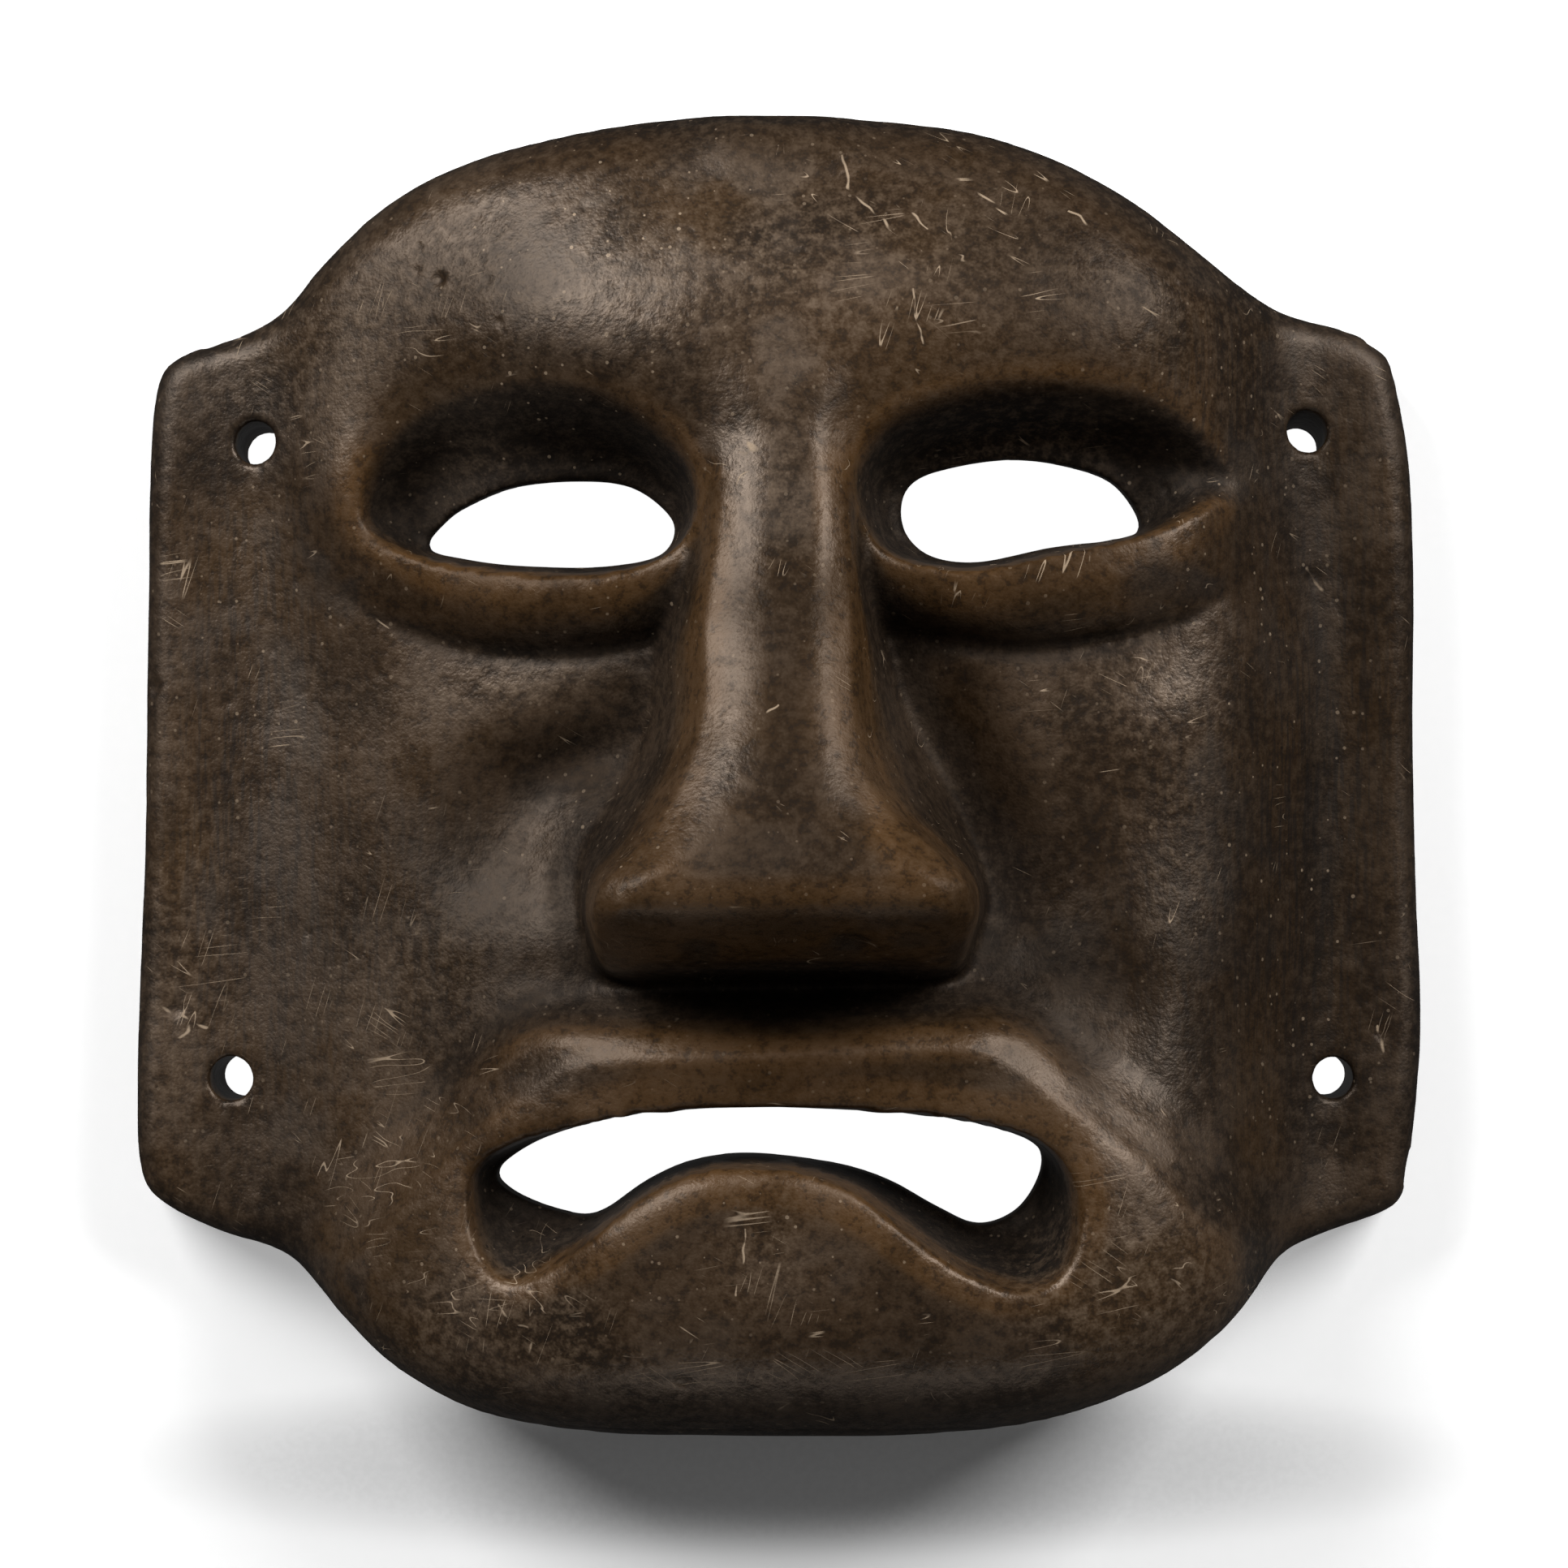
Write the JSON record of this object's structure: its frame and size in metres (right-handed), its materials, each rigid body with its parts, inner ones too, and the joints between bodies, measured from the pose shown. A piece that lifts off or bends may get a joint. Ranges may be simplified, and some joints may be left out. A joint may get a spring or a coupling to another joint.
{
  "type": "stone mask",
  "caption": "Face mask carved from brown stone: domed brow, cut-through eyes and downturned mouth, wedge nose, drilled side plates and a hollow back.",
  "frame": {"origin": "on the ground under the middle of the mask's outline, which lies on the flat rim of its back", "axes": "+X to the right of someone looking at the face, +Y to the forehead, +Z out of the face"},
  "size_m": [0.18, 0.1821, 0.068],
  "materials": {
    "stone": "worn polish, mottled brown"
  },
  "bodies": {
    "root": {"stone_mask": "stone"}
  },
  "joints": []
}
